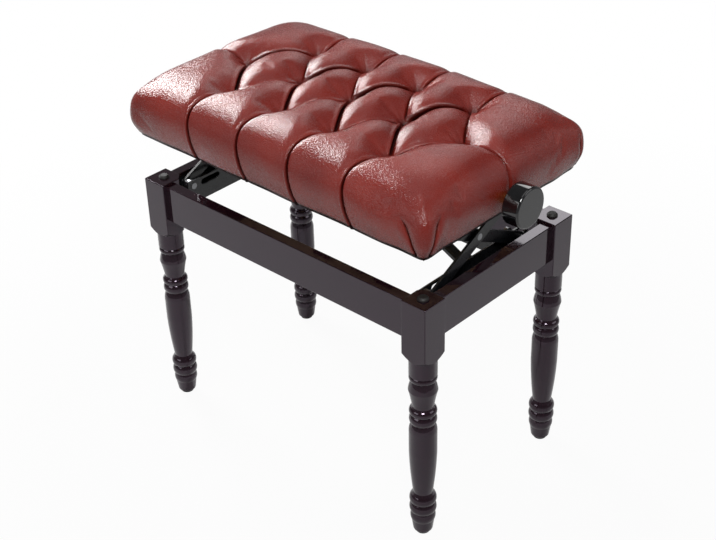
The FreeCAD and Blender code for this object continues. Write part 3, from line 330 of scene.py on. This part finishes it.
# the hide as a flat sheet of points, drawn closer together beside the folds
sheet_x = np.linspace(-edge_x, edge_x, 2 * round(edge_x / SPACING) + 1)
sheet_y = np.linspace(-edge_y, edge_y, 2 * round(edge_y / SPACING) + 1)
hide_x, hide_y = np.meshgrid(sheet_x, sheet_y, indexing="ij")
nearest = np.full_like(hide_x, np.inf)
to_x, to_y = np.zeros_like(hide_x), np.zeros_like(hide_x)
for start, end, bow in ([(fold.start, fold.end, fold.bow) for fold in folds]
                        + [(start, end, 0) for start, end in corner_pleats]):
    share, foot_x, foot_y, distance = from_fold(start, end, hide_x, hide_y, bow)
    closer = np.abs(distance) < nearest
    nearest = np.where(closer, np.abs(distance), nearest)
    to_x, to_y = np.where(closer, foot_x, to_x), np.where(closer, foot_y, to_y)
pull = CROWDING * (1 - eased(nearest / CROWDED_WITHIN))
pull_x, pull_y = pull * (to_x - hide_x), pull * (to_y - hide_y)
for step in range(10):
    for field in (pull_x, pull_y):
        field[1:-1, 1:-1] = (field[1:-1, 1:-1] + field[2:, 1:-1] + field[:-2, 1:-1]
                             + field[1:-1, 2:] + field[1:-1, :-2]) / 5
pull_x[[0, -1]], pull_y[:, [0, -1]] = 0, 0
hide_x = np.clip(hide_x + pull_x, -edge_x, edge_x)
hide_y = np.clip(hide_y + pull_y, -edge_y, edge_y)

# each point's place on the smooth seat, whose corners grow squarer towards the hem
over_x = np.maximum(np.abs(hide_x) - flat_x, 0)
over_y = np.maximum(np.abs(hide_y) - flat_y, 0)
over = np.maximum(over_x, over_y)
to_hem = reach - over
squareness = np.interp(over, [0, 0.6 * roll_length, roll_length, reach], [2.4, 2.8, 8.0, 16.0])
spread = np.maximum((over_x ** squareness + over_y ** squareness) ** (1 / squareness), 1e-9)
out = np.interp(over, line_length, line_out)
top_x, top_y = np.clip(hide_x, -flat_x, flat_x), np.clip(hide_y, -flat_y, flat_y)
crown = CROWN - CROWN_FALL_X * (top_x / flat_x) ** 2 - CROWN_FALL_Y * (top_y / flat_y) ** 2
hide = np.stack([
    top_x + np.sign(hide_x) * over_x / spread * out,
    top_y + np.sign(hide_y) * over_y / spread * out,
    BULGE + (crown - BULGE) * np.interp(over, line_length, line_up)
    - np.interp(over, line_length, line_drop)], axis=-1)


def facing(surface):
    """Unit normals of a sheet of points."""
    normals = np.cross(np.gradient(surface, axis=0), np.gradient(surface, axis=1))
    return normals / np.linalg.norm(normals, axis=-1, keepdims=True)


# pillows between the folds, each fold with a lip over a gap that closes just above the hem, and painted
# shade laid along the gap
full = np.ones_like(hide_x)
lips = np.zeros_like(hide_x)
painted_crease_shade = np.zeros_like(hide_x)
at_hem = eased((to_hem - 1.5) / 9)
for fold in folds:
    share, foot_x, foot_y, distance = from_fold(fold.start, fold.end, hide_x, hide_y, fold.bow)
    depth = np.interp(share, (0, 0.5, 1), fold.depths)
    width = fold.reaches[0] + (fold.reaches[1] - fold.reaches[0]) * eased(share / 0.5)
    to_lip = fold.lip_side * distance
    # behind the lip the pillow falls more steeply where the fold is shallow
    shoulder = np.where(to_lip > 0, 1.0, 1.0 - 0.5 * eased((0.6 - depth) / 0.4))
    full *= 1 - depth * (1 - pillowed(distance, width * shoulder))
    closed_end = 1.0 if fold.depths[2] < 1 else eased((1 - share) / LIP_ENDS)
    strength = eased(share / LIP_ENDS) * closed_end
    narrow = fold.widths[0] + (fold.widths[1] - fold.widths[0]) * share
    lips += strength * fold.lip * np.exp(-((to_lip - LIP_OUT - narrow) / LIP_WIDTH) ** 2)
    lips -= strength * fold.gap * at_hem * np.exp(-(distance / narrow) ** 2)
    # painted shade along each gap, fuller where the gap is deeper
    shaded = (to_lip - 0.5 * narrow) / (1.5 * narrow)
    painted_gap_shade = min(1, fold.gap / FULL_SHADE_GAP) * (0.3 + 0.7 * strength)
    painted_crease_shade = np.maximum(painted_crease_shade, painted_gap_shade * np.exp(-shaded ** 2))
sink = -PILLOW_DEPTH * (1 - full)

# the pleats and the tongue of hide at each corner, and puckers round the tufts
for start, end in corner_pleats:
    share, foot_x, foot_y, distance = from_fold(start, end, hide_x, hide_y)
    rising = eased(share / 0.25)
    tuck = 1 - pillowed(distance, 16 - 6 * share)
    sink -= (1.5 + 3.5 * rising) * at_hem * tuck
    lips -= rising * CORNER_GAP * at_hem * np.exp(-(distance / (1.1 + 0.7 * share)) ** 2)
    # painted shade in each corner pleat's gap
    painted_crease_shade = np.maximum(painted_crease_shade, rising * np.exp(-(distance / (1.2 + 0.7 * share)) ** 2))
tongue = (np.exp(-((over_x - over_y) / TONGUE_WIDTH) ** 2)
          * eased((np.minimum(over_x, over_y) - 50) / 60))
sink += TONGUE_RISE * tongue * eased(to_hem / 30)
for x, y in ([(x, 0.0) for x in middle_row] + [(x, -TUFT_LINE) for x in front_row]
             + [(x, TUFT_LINE) for x in rear_row]):
    near = np.hypot(hide_x - x, hide_y - y)
    angle = np.arctan2(hide_y - y, hide_x - x)
    sink -= TUFT_SINK * np.exp(-(near / TUFT_RADIUS) ** 2)
    sink -= PUCKER_HEIGHT * np.exp(-near / PUCKER_REACH) * np.cos(PUCKERS * angle + x + y)
    # painted shade in and round each tuft's pit
    painted_crease_shade = np.maximum(painted_crease_shade, np.exp(-(near / (TUFT_RADIUS + 1)) ** 2))
# a hand-stretched hide is never quite even
sink += UNEVEN * (np.sin(hide_x / 23 + np.sin(hide_y / 31)) + np.sin(hide_y / 19 + np.sin(hide_x / 27)))
hide = hide + facing(hide) * sink[..., None]

# cloth simulation: every second point of the hide swells under pressure while its folds are held
loose = hide[::2, ::2]
rows, columns = loose.shape[:2]
number = np.arange(rows * columns).reshape(rows, columns)
squares = np.stack([number[:-1, :-1], number[1:, :-1], number[1:, 1:], number[:-1, 1:]], axis=-1)
cloth_mesh = bpy.data.meshes.new("hide_cloth")
cloth_mesh.from_pydata((loose.reshape(-1, 3) / 1000).tolist(), [], squares.reshape(-1, 4).tolist())
cloth = bpy.data.objects.new("hide_cloth", cloth_mesh)
bpy.context.collection.objects.link(cloth)
held = cloth.vertex_groups.new(name="held")
hold = np.maximum(1 - eased((nearest - 2) / 5), 1 - eased((to_hem - 10) / 20))
for point, share in enumerate(hold[::2, ::2].reshape(-1)):
    held.add([point], float(share), "REPLACE")
swell = cloth.modifiers.new("swell", "CLOTH")
swell.settings.vertex_group_mass = "held"
swell.settings.quality = 6
swell.settings.mass = 0.2
swell.settings.tension_stiffness = swell.settings.compression_stiffness = 25.0
swell.settings.bending_stiffness = 10.0
swell.settings.shrink_min = -SLACK
swell.settings.use_pressure = True
swell.settings.uniform_pressure_force = 6.0
swell.settings.effector_weights.gravity = 0.0
for step in range(1, SWELL_FRAMES + 1):
    bpy.context.scene.frame_set(step)
swollen = cloth.evaluated_get(bpy.context.evaluated_depsgraph_get()).to_mesh()
moved = np.empty(rows * columns * 3)
swollen.vertices.foreach_get("co", moved)
moved = moved.reshape(rows, columns, 3) * 1000 - loose
length = np.linalg.norm(moved, axis=-1, keepdims=True)
moved *= np.minimum(1, MOST_SWELL / np.maximum(length, 1e-6))
bpy.data.objects.remove(cloth)
bpy.context.scene.frame_set(1)
given = np.zeros_like(hide)
given[::2, ::2] = moved
given[1::2] = (given[:-1:2] + given[2::2]) / 2
given[:, 1::2] = (given[:, :-1:2] + given[:, 2::2]) / 2
hide = hide + given

# the last few millimetres above the hem step in, and a line of painted shade is laid along them
lips -= HEM_STEP * eased((6.5 - to_hem) / 3)
painted_crease_shade = np.maximum(painted_crease_shade, 0.95 * eased((9 - to_hem) / 3))
hide = hide + facing(hide) * lips[..., None]
hide[..., 2] = np.where(to_hem < 0.1, HEM, hide[..., 2])

# close the hide: its margin turns in under the boards, and its back runs up them and over the deck
nx, ny = hide_x.shape
index = np.arange(nx * ny).reshape(nx, ny)
quads = np.stack([index[:-1, :-1], index[1:, :-1], index[1:, 1:], index[:-1, 1:]], axis=-1)
rim = np.concatenate([index[:-1, 0], index[-1, :-1], index[:0:-1, -1], index[0, :0:-1]])
points = hide.reshape(-1, 3)
deck_x, deck_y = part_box("seat_deck")[1].x * 1000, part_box("seat_deck")[1].y * 1000
under_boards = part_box("seat_board_front")[0].z * 1000 - BOARD_GAP
over_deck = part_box("seat_deck")[1].z * 1000 + BOARD_GAP
rings = [points[rim]]
for inset, height in ((MARGIN, HEM + 0.1), (MARGIN, under_boards), (-BOARD_GAP, under_boards),
                      (-BOARD_GAP, over_deck)):
    limit = np.array([deck_x - inset, deck_y - inset])
    ring_xy = np.clip(rings[0][:, :2] * 1.2, -limit, limit)
    rings.append(np.column_stack([ring_xy, np.full(len(rim), height)]))
count, first = len(rim), len(points)
ring = np.arange(count)
following = (ring + 1) % count
numbers = [rim] + [first + place * count + ring for place in range(len(rings) - 1)]
walls = [np.stack([low, high, high[following], low[following]], axis=-1)
         for low, high in zip(numbers, numbers[1:])]
faces = np.concatenate([quads.reshape(-1, 4), *walls]).tolist() + [numbers[-1].tolist()]
points = np.concatenate([points, *rings[1:]])
seat_mesh = bpy.data.meshes.new("seat_leather")
seat_mesh.from_pydata((points / 1000).tolist(), [], faces)
# the painted shade, kept on the hide's points for the leather to read
dark = np.zeros(len(points), dtype=np.float32)
dark[:painted_crease_shade.size] = painted_crease_shade.reshape(-1)
marks = seat_mesh.attributes.new("painted_crease_shade", "FLOAT", "POINT")
marks.data.foreach_set("value", dark)
seat_mesh.polygons.foreach_set("use_smooth", [True] * len(seat_mesh.polygons))
seat = bpy.data.objects.new("seat_leather", seat_mesh)
bpy.context.collection.objects.link(seat)

# cowhide, dyed, pressed with a pebbled grain and polished; its colour drifts a little over every
# 70 mm or so, and painted shade darkens its folds, gaps, tuft pits and hem line
leather, tree, shader = start_material("oxblood_leather")
place = add(tree, "ShaderNodeTexCoord").outputs["Object"]
drift = add(tree, "ShaderNodeTexNoise", {"Scale": 14.0, "Detail": 4.0}, {"Vector": place})
tone = add(tree, "ShaderNodeMapRange", MIDDLE_OF_NOISE, {"Value": drift.outputs["Fac"]})
dye = add(tree, "ShaderNodeMix", {"A": linear("#701c15"), "B": linear("#86261b")},
          {"Factor": tone.outputs["Result"]}, data_type="RGBA")
# painted shade: the mask mixes the dye towards near black in folds, gaps, tuft pits and the hem line
folded = add(tree, "ShaderNodeAttribute", attribute_name="painted_crease_shade")
shade = add(tree, "ShaderNodeMix", {"B": linear("#0c0303")},
            {"Factor": folded.outputs["Fac"], "A": dye.outputs["Result"]}, data_type="RGBA")
tree.links.new(shade.outputs["Result"], shader.inputs["Base Color"])
# the grain breaks up the highlights; it is drawn 1.7 mm across so that it shows, with finer pores
pebble = add(tree, "ShaderNodeTexVoronoi", {"Scale": 600.0, "Randomness": 1.0}, {"Vector": place})
pores = add(tree, "ShaderNodeTexNoise", {"Scale": 900.0, "Detail": 2.0}, {"Vector": place})
grain = add(tree, "ShaderNodeMath", {1: 0.6}, {0: pores.outputs["Fac"], 2: pebble.outputs["Distance"]},
            operation="MULTIPLY_ADD")
bump = add(tree, "ShaderNodeBump", {"Strength": 0.6, "Distance": 0.0007},
           {"Height": grain.outputs["Value"]})
tree.links.new(bump.outputs["Normal"], shader.inputs["Normal"])
tree.links.new(bump.outputs["Normal"], shader.inputs["Coat Normal"])
shine = add(tree, "ShaderNodeMapRange", {"To Min": 0.2, "To Max": 0.34}, {"Value": pores.outputs["Fac"]})
tree.links.new(shine.outputs["Result"], shader.inputs["Roughness"])
# the shine fades out under the painted shade of the folds, so that they read dark
for name, polish in (("Specular IOR Level", 0.32), ("Coat Weight", 0.55)):
    fading = add(tree, "ShaderNodeMapRange", {"To Min": polish, "To Max": 0.03},
                 {"Value": folded.outputs["Fac"]})
    tree.links.new(fading.outputs["Result"], shader.inputs[name])
shader.inputs["Coat Roughness"].default_value = 0.1
seat_mesh.materials.append(leather)
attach(seat, "seat")
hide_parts("seat_cushion", "seat_skirt")


# Staples: bright wire driven up through the hide's margin into the boards, one every 26 mm, none
# of them quite straight because they are shot by hand.
margin_line = bpy.data.meshes.new("hem_staples")
line_x, line_y, line_z = (deck_x - MARGIN / 2) / 1000, (deck_y - MARGIN / 2) / 1000, HEM / 1000
margin_line.from_pydata([(-line_x, -line_y, line_z), (line_x, -line_y, line_z),
                         (line_x, line_y, line_z), (-line_x, line_y, line_z)],
                        [(0, 1), (1, 2), (2, 3), (3, 0)], [])
staples = bpy.data.objects.new("hem_staples", margin_line)
bpy.context.collection.objects.link(staples)
tree = bpy.data.node_groups.new("staples_along_margin", "GeometryNodeTree")
tree.interface.new_socket("Geometry", in_out="OUTPUT", socket_type="NodeSocketGeometry")
tree.interface.new_socket("Geometry", in_out="INPUT", socket_type="NodeSocketGeometry")
staple_sizes = {"Spacing": 0.026, "Half Crown": 0.0055, "Wire Radius": 0.0005}
sockets = {name: tree.interface.new_socket(name, in_out="INPUT", socket_type="NodeSocketFloat")
           for name in staple_sizes}
given_in = add(tree, "NodeGroupInput")
path = add(tree, "GeometryNodeMeshToCurve", links={"Mesh": given_in.outputs["Geometry"]})
places = add(tree, "GeometryNodeResampleCurve", links={"Curve": path.outputs["Curve"],
             "Length": given_in.outputs["Spacing"]}, mode="LENGTH")
far_end = add(tree, "ShaderNodeCombineXYZ", links={"X": given_in.outputs["Half Crown"]})
near_end = add(tree, "ShaderNodeVectorMath", {"Scale": -1.0}, {0: far_end.outputs["Vector"]},
               operation="SCALE")
crown_line = add(tree, "GeometryNodeCurvePrimitiveLine", links={"Start": near_end.outputs["Vector"],
                 "End": far_end.outputs["Vector"]})
wire = add(tree, "GeometryNodeCurvePrimitiveCircle", {"Resolution": 6},
           {"Radius": given_in.outputs["Wire Radius"]})
staple = add(tree, "GeometryNodeCurveToMesh", {"Fill Caps": True}, {"Curve": crown_line.outputs["Curve"],
             "Profile Curve": wire.outputs["Curve"]})
along = add(tree, "GeometryNodeInputTangent")
aligned = add(tree, "FunctionNodeAlignRotationToVector", links={"Vector": along.outputs["Tangent"]},
              axis="X")
askew = add(tree, "FunctionNodeRandomValue", {2: -0.2, 3: 0.2, "Seed": 4}, data_type="FLOAT")
askew_turn = add(tree, "ShaderNodeCombineXYZ", links={"Z": askew.outputs[1]})
shot = add(tree, "GeometryNodeInstanceOnPoints", links={"Points": places.outputs["Curve"],
           "Instance": staple.outputs["Mesh"], "Rotation": aligned.outputs["Rotation"]})
turned = add(tree, "GeometryNodeRotateInstances", links={"Instances": shot.outputs["Instances"],
             "Rotation": askew_turn.outputs["Vector"]})
solid = add(tree, "GeometryNodeRealizeInstances", links={"Geometry": turned.outputs["Instances"]})
coated = add(tree, "GeometryNodeSetMaterial", {"Material": drawn_steel},
             {"Geometry": solid.outputs["Geometry"]})
add(tree, "NodeGroupOutput", links={"Geometry": coated.outputs["Geometry"]})
driven = staples.modifiers.new("staples", "NODES")
driven.node_group = tree
for name, size in staple_sizes.items():
    driven[sockets[name].identifier] = size
wires = bpy.data.meshes.new_from_object(staples.evaluated_get(bpy.context.evaluated_depsgraph_get()))
staples.modifiers.remove(driven)
staples.data = wires
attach(staples, "seat")


# The studio: a sheet of white paper under the bench, laid along the view, a surround that is pale
# low down and dark overhead, and soft boxes. The camera stands where the photograph was taken from.
azimuth, elevation, tilt = math.radians(43.49), math.radians(32.41), math.radians(-1.67)
to_camera = Vector((math.sin(azimuth), -math.cos(azimuth), 0))
across_view = Vector((math.cos(azimuth), math.sin(azimuth), 0))
paper_front, paper_rear, paper_side = 1.7, -3.2, 1.35
sheet = [to_camera * ahead + across_view * aside
         for ahead, aside in ((paper_front, -paper_side), (paper_front, paper_side),
                              (paper_rear, paper_side), (paper_rear, -paper_side))]
floor_mesh = bpy.data.meshes.new("studio_floor")
floor_mesh.from_pydata(sheet, [], [(0, 1, 2, 3)])
floor = bpy.data.objects.new("studio_floor", floor_mesh)
bpy.context.collection.objects.link(floor)
paper, tree, shader = start_material("white_paper")
shader.inputs["Base Color"].default_value = linear("#b0b0b0")
shader.inputs["Roughness"].default_value = 0.9
shader.inputs["Specular IOR Level"].default_value = 0.1
# the eye sees the paper as white, polished pieces see a share of that, and a part of each shadow stays
ray = add(tree, "ShaderNodeLightPath")
seen = add(tree, "ShaderNodeMath",
           links={0: ray.outputs["Is Camera Ray"], 1: ray.outputs["Is Transmission Ray"]})
seen = add(tree, "ShaderNodeMath", {1: 0.12}, {0: ray.outputs["Is Glossy Ray"], 2: seen.outputs["Value"]},
           operation="MULTIPLY_ADD")
# no shadow stays far from the bench, so that the edges of the sheet do not show
place = add(tree, "ShaderNodeTexCoord").outputs["Object"]
from_bench = add(tree, "ShaderNodeVectorMath", links={0: place}, operation="LENGTH")
whiteness = add(tree, "ShaderNodeMapRange",
                {"From Min": 0.5, "From Max": 1.2, "To Min": 0.95, "To Max": 1.0},
                {"Value": from_bench.outputs["Value"]})
seen = add(tree, "ShaderNodeMath", links={0: seen.outputs["Value"], 1: whiteness.outputs["Result"]},
           operation="MULTIPLY", use_clamp=True)
white = add(tree, "ShaderNodeEmission", {"Color": linear("#ffffff"), "Strength": 1.0})
paper_look = add(tree, "ShaderNodeMixShader", links={0: seen.outputs["Value"], 1: shader.outputs["BSDF"],
                                                     2: white.outputs["Emission"]})
tree.links.new(paper_look.outputs["Shader"], tree.nodes["Material Output"].inputs["Surface"])
floor_mesh.materials.append(paper)

world = bpy.data.worlds.new("studio_surround")
bpy.context.scene.world = world
world.use_nodes = True
tree = world.node_tree
direction = add(tree, "ShaderNodeTexCoord").outputs["Generated"]
height = add(tree, "ShaderNodeSeparateXYZ", links={"Vector": direction})
upwards = add(tree, "ShaderNodeMapRange", {"From Min": 0.0, "From Max": 0.4},
              {"Value": height.outputs["Z"]})
surround = add(tree, "ShaderNodeMix", {"A": linear("#b4b4b8"), "B": linear("#48484c")},
               {"Factor": upwards.outputs["Result"]}, data_type="RGBA")
tree.links.new(surround.outputs["Result"], tree.nodes["Background"].inputs["Color"])
tree.nodes["Background"].inputs["Strength"].default_value = 0.34
ray = add(tree, "ShaderNodeLightPath")
seen = add(tree, "ShaderNodeMath",
           links={0: ray.outputs["Is Camera Ray"], 1: ray.outputs["Is Transmission Ray"]})
seen = add(tree, "ShaderNodeMath", {1: 0.1}, {0: ray.outputs["Is Glossy Ray"], 2: seen.outputs["Value"]},
           operation="MULTIPLY_ADD", use_clamp=True)
backdrop = add(tree, "ShaderNodeBackground", {"Color": linear("#ffffff"), "Strength": 1.0})
surround_look = add(tree, "ShaderNodeMixShader", links={0: seen.outputs["Value"],
                    1: tree.nodes["Background"].outputs["Background"], 2: backdrop.outputs["Background"]})
tree.links.new(surround_look.outputs["Shader"], tree.nodes["World Output"].inputs["Surface"])

lit_middle = Vector((0, 0, 0.5))
for name, place, width, height, watts in (("left_box", (-2.5, 0.4, 1.8), 1.2, 0.8, 92),
                                          ("fill_box", (1.3, -1.4, 2.4), 0.7, 0.7, 46),
                                          ("top_box", (0.1, 0.0, 2.7), 1.8, 1.8, 8),
                                          ("back_box", (-1.1, 1.75, 1.75), 1.0, 1.0, 7),
                                          ("front_box", (-0.6, -2.4, 1.6), 1.6, 1.2, 12),
                                          ("right_box", (2.2, 1.2, 1.7), 1.6, 1.2, 9)):
    lamp = bpy.data.lights.new(name, "AREA")
    lamp.shape = "RECTANGLE"
    lamp.size, lamp.size_y = width, height
    lamp.energy = watts
    holder = bpy.data.objects.new(name, lamp)
    holder.location = place
    holder.rotation_euler = (lit_middle - Vector(place)).to_track_quat("-Z", "Y").to_euler()
    bpy.context.collection.objects.link(holder)

camera = bpy.data.objects.new("camera", bpy.data.cameras.new("camera"))
bpy.context.collection.objects.link(camera)
bpy.context.scene.camera = camera
camera.data.sensor_width = 36.0
camera.data.lens = 70.61
camera.data.clip_start, camera.data.clip_end = 0.05, 100.0
camera_aim, camera_distance = Vector((0.00384, 0.00365, 0.2733)), 2.1496
back = to_camera * math.cos(elevation) + Vector((0, 0, math.sin(elevation)))
level_up = back.cross(across_view)
right = math.cos(tilt) * across_view + math.sin(tilt) * level_up
up = math.cos(tilt) * level_up - math.sin(tilt) * across_view
turned_to_aim = Matrix((right, up, back)).transposed().to_4x4()
camera.matrix_world = Matrix.Translation(camera_aim + back * camera_distance) @ turned_to_aim
bpy.context.scene.view_settings.view_transform = "Standard"
